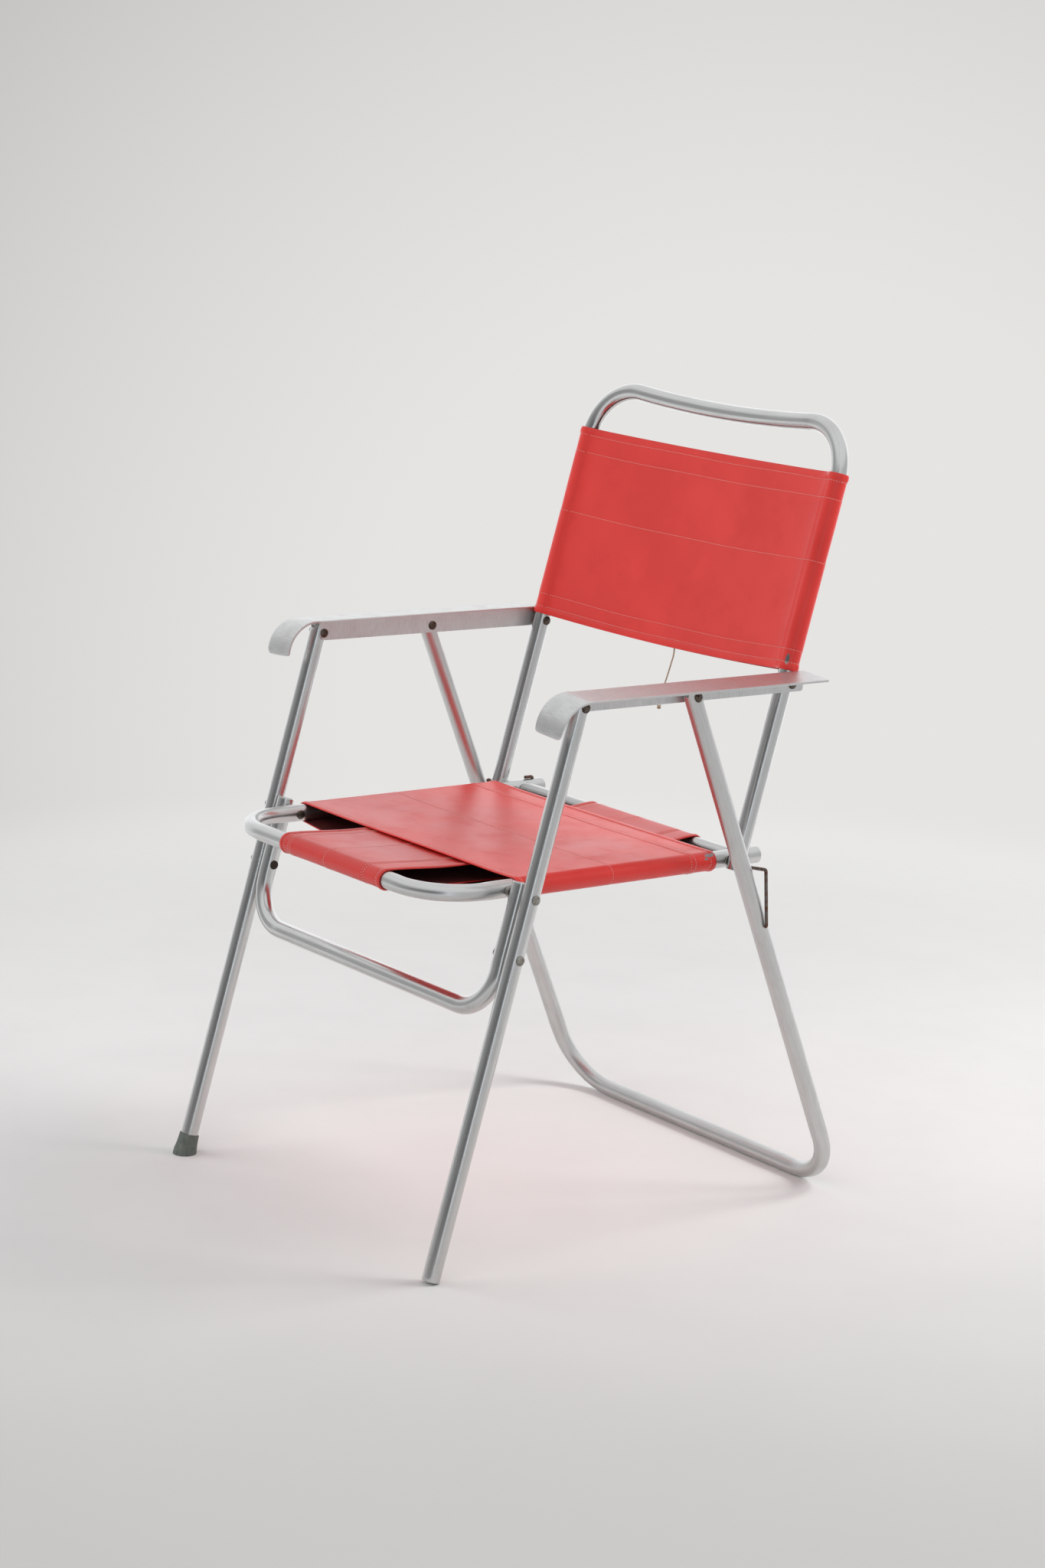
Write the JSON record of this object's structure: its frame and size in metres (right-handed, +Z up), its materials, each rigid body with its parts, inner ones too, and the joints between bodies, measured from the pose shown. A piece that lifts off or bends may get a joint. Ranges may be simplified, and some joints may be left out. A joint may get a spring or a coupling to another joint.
{
  "type": "folding armchair",
  "caption": "Folding tube-frame garden armchair with vinyl sleeve seat and back, flat curled armrests, riveted leg pivots and spring lock wires.",
  "frame": {"origin": "on the floor, under the middle of the chair's width and depth", "axes": "+Z up, -Y to the front where the sitter faces, +X to the sitter's left"},
  "size_m": [0.5554, 0.6229, 0.9157],
  "materials": {
    "aluminium": "drawn tube and sheet, satin, scuffed and dirty",
    "steel": "dull, with some rust",
    "vinyl": "semi-gloss coated vinyl sheet with stitched hems",
    "rubber": "matt, dusty",
    "twine": "twisted natural fibre"
  },
  "bodies": {
    "back": {"back_frame": "aluminium", "back_sling": "vinyl", "string": "twine", "string_knot": "twine"},
    "seat": {"seat_frame": "aluminium", "seat_crossbar": "aluminium", "seat_sling": "vinyl", "seat_strap": "vinyl", "seat_rear_rivet_left": "steel", "seat_rear_rivet_right": "steel", "seat_rear_washer_left": "steel", "seat_rear_washer_right": "steel"},
    "front_legs": {"front_leg_left": "aluminium", "front_leg_right": "aluminium", "front_stretcher": "aluminium", "foot_cap_right": "rubber", "seat_front_bolt_left": "steel", "seat_front_bolt_right": "steel", "seat_front_spacer_left": "steel", "seat_front_spacer_right": "steel", "stretcher_rivet_left": "steel", "stretcher_rivet_right": "steel"},
    "armrest_left": {"armrest_left": "aluminium", "arm_front_rivet_left": "steel", "arm_mid_rivet_left": "steel", "arm_rear_rivet_left": "steel", "arm_rear_washer_left": "steel"},
    "armrest_right": {"armrest_right": "aluminium", "arm_front_rivet_right": "steel", "arm_mid_rivet_right": "steel", "arm_rear_rivet_right": "steel", "arm_rear_washer_right": "steel"},
    "rear_legs": {"rear_leg_frame": "aluminium"},
    "lock_wire_left": {"lock_wire_left": "steel"},
    "lock_wire_right": {"lock_wire_right": "steel"}
  },
  "joints": [
    {"name": "seat_fold", "type": "hinge", "parent": "back", "child": "seat", "pos_m": [0, 0.1297, 0.415], "axis": [-1, 0, 0], "range_deg": [0, 90]},
    {"name": "armrest_left_fold", "type": "hinge", "parent": "back", "child": "armrest_left", "pos_m": [0.232, 0.183, 0.62], "axis": [-1, 0, 0], "range_deg": [0, 90]},
    {"name": "armrest_right_fold", "type": "hinge", "parent": "back", "child": "armrest_right", "pos_m": [-0.232, 0.183, 0.62], "axis": [-1, 0, 0], "range_deg": [0, 90]},
    {"name": "front_legs_fold", "type": "hinge", "parent": "seat", "child": "front_legs", "pos_m": [0, -0.1893, 0.415], "axis": [1, 0, 0], "range_deg": [0, 90]},
    {"name": "rear_legs_fold", "type": "hinge", "parent": "armrest_left", "child": "rear_legs", "pos_m": [0.2445, 0.0235, 0.62], "axis": [1, 0, 0], "range_deg": [0, 51]},
    {"name": "lock_wire_left_swivel", "type": "hinge", "parent": "seat", "child": "lock_wire_left", "pos_m": [0.1982, 0.165, 0.415], "axis": [0, 0, 1], "range_deg": [0, 90]},
    {"name": "lock_wire_right_swivel", "type": "hinge", "parent": "seat", "child": "lock_wire_right", "pos_m": [-0.1982, 0.165, 0.415], "axis": [0, 0, -1], "range_deg": [0, 90]}
  ],
  "couplings": [
    {"joint": "armrest_left_fold", "follows": "seat_fold", "ratio": 1},
    {"joint": "armrest_right_fold", "follows": "seat_fold", "ratio": 1},
    {"joint": "front_legs_fold", "follows": "seat_fold", "ratio": 1},
    {"joint": "rear_legs_fold", "follows": "seat_fold", "ratio": 0.5656}
  ]
}
